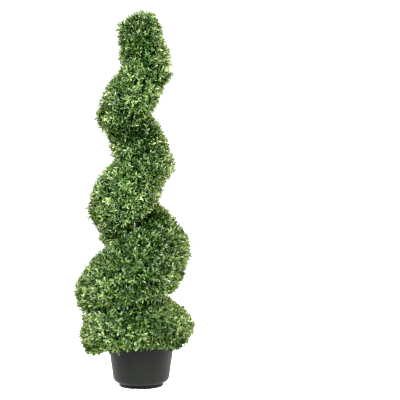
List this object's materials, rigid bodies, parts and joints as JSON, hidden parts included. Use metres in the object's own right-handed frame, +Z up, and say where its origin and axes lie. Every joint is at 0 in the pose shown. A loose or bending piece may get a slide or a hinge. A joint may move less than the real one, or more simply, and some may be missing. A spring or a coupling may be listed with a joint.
{
  "type": "artificial spiral topiary in a nursery pot",
  "caption": "Artificial boxwood-style topiary: a clipped ribbon of small leaves climbs round a hidden pole to a rounded tip, in a tapered plastic nursery pot.",
  "frame": {"origin": "centre of the pot's flat underside, at ground level", "axes": "+Z up along the pole, -Y towards the viewer's side, +X to the viewer's right"},
  "size_m": [0.3804, 0.3797, 1.22],
  "materials": {
    "pot_plastic": "satin moulded",
    "cement": "rough",
    "bark": "rough",
    "foliage": "satin plastic leaves"
  },
  "bodies": {
    "root": {"pot": "pot_plastic", "pot_fill": "cement", "trunk": "bark", "turn_1_mass_1": "foliage", "turn_1_mass_2": "foliage", "turn_1_mass_3": "foliage", "turn_1_mass_4": "foliage", "turn_1_mass_5": "foliage", "turn_1_mass_6": "foliage", "turn_2_mass_1": "foliage", "turn_2_mass_2": "foliage", "turn_2_mass_3": "foliage", "turn_2_mass_4": "foliage", "turn_2_mass_5": "foliage", "turn_2_mass_6": "foliage", "turn_3_mass_1": "foliage", "turn_3_mass_2": "foliage", "turn_3_mass_3": "foliage", "turn_3_mass_4": "foliage", "turn_3_mass_5": "foliage", "turn_3_mass_6": "foliage", "turn_4_mass_1": "foliage", "turn_4_mass_2": "foliage", "turn_4_mass_3": "foliage", "turn_4_mass_4": "foliage", "turn_4_mass_5": "foliage", "tip_mass": "foliage"}
  },
  "joints": []
}
